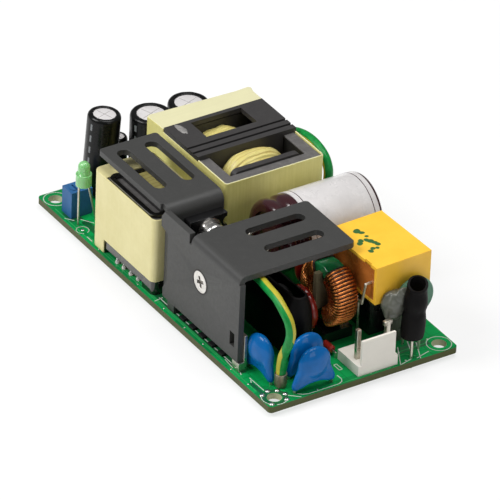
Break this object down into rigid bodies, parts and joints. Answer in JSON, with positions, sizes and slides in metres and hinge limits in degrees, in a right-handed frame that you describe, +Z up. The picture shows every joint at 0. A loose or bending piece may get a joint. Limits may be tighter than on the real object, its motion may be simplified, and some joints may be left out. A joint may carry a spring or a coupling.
{
  "type": "open frame power supply",
  "caption": "Open frame mains power supply: a green circuit board with bent black heatsinks, taped transformer and choke, capacitors and pin headers.",
  "frame": {"origin": "centre of the mounting hole pattern, on the underside of the board", "axes": "+X along the board towards the mains inlet header, +Y across it from the front heatsink to the back edge, +Z up through the parts"},
  "size_m": [0.1021, 0.0508, 0.0275],
  "materials": {
    "board": "glass fibre laminate with green solder mask",
    "solder": "bright solder",
    "chips": "black moulded",
    "black_sheet": "black, fine grain",
    "tinned": "tin plated",
    "screw_steel": "nickel plated",
    "black_case": "moulded",
    "ferrite": "ground ferrite",
    "bobbin": "glossy moulded",
    "yellow_tape": "translucent polyester tape",
    "pale_tape": "polyester tape",
    "cap_sleeve": "shrunk sleeve",
    "bulk_sleeve": "dark red brown sleeve",
    "white_label": "bare printed sleeve",
    "blue_case": "moulded",
    "rotor": "moulded",
    "lens": "diffused green",
    "earth_green": "green with yellow stripes",
    "blue_coat": "dipped coating",
    "therm_coat": "dipped coating",
    "sleeve": "shrunk sleeve",
    "red_coat": "dipped coating",
    "green_coat": "dipped coating",
    "green_core": "epoxy coated ferrite",
    "copper": "enamelled copper wire",
    "divider": "fibre sheet",
    "box_yellow": "moulded box",
    "silicone": "set adhesive",
    "resistor": "lacquered",
    "white_nylon": "moulded",
    "glass_red": "glass bead"
  },
  "bodies": {
    "supply": {"board": "board", "solder_joints": "solder", "surface_chips": "chips", "front_heatsink": "black_sheet", "rear_heatsink": "black_sheet", "heatsink_lugs": "tinned", "bridge_rectifier": "black_case", "bridge_screw": "screw_steel", "bridge_nut": "screw_steel", "power_transistor": "black_case", "transistor_screw": "screw_steel", "screw_washers": "screw_steel", "semiconductor_leads": "tinned", "choke_core": "ferrite", "choke_bobbin": "bobbin", "choke_winding": "yellow_tape", "choke_tape": "pale_tape", "transformer_core": "ferrite", "transformer_bobbin": "bobbin", "primary_winding": "yellow_tape", "secondary_winding": "yellow_tape", "transformer_tape": "pale_tape", "bobbin_pins": "tinned", "bulk_capacitor": "bulk_sleeve", "bulk_label": "white_label", "output_capacitor_back": "cap_sleeve", "output_capacitor_middle": "cap_sleeve", "output_capacitor_front": "cap_sleeve", "supply_capacitor": "cap_sleeve", "capacitor_leads": "tinned", "trimmer_body": "blue_case", "led_lens": "lens", "small_leads": "tinned", "earth_wire": "earth_green", "earth_terminals": "tinned", "y_capacitor_front": "blue_coat", "y_capacitor_middle": "blue_coat", "y_capacitor_right": "blue_coat", "disc_leads": "tinned", "inrush_thermistor": "therm_coat", "thermistor_sleeve": "sleeve", "varistors": "red_coat", "surge_disc": "green_coat", "filter_core": "green_core", "filter_winding_left": "copper", "filter_winding_right": "copper", "filter_divider": "divider", "filter_base": "black_case", "x_capacitor": "box_yellow", "x_capacitor_leads": "tinned", "silicone_bead": "silicone", "fuse_body": "black_case", "bleed_resistor": "resistor", "resistor_sleeve": "sleeve", "inlet_header": "white_nylon", "output_header": "white_nylon", "header_pins": "tinned", "glass_diode": "glass_red"},
    "trimmer_rotor": {"trimmer_rotor": "rotor"}
  },
  "joints": [
    {"name": "trimmer_turn", "type": "hinge", "parent": "supply", "child": "trimmer_rotor", "pos_m": [-0.04045, -0.0216, 0.008], "axis": [0, 0, 1], "range_deg": [-130, 130]}
  ]
}
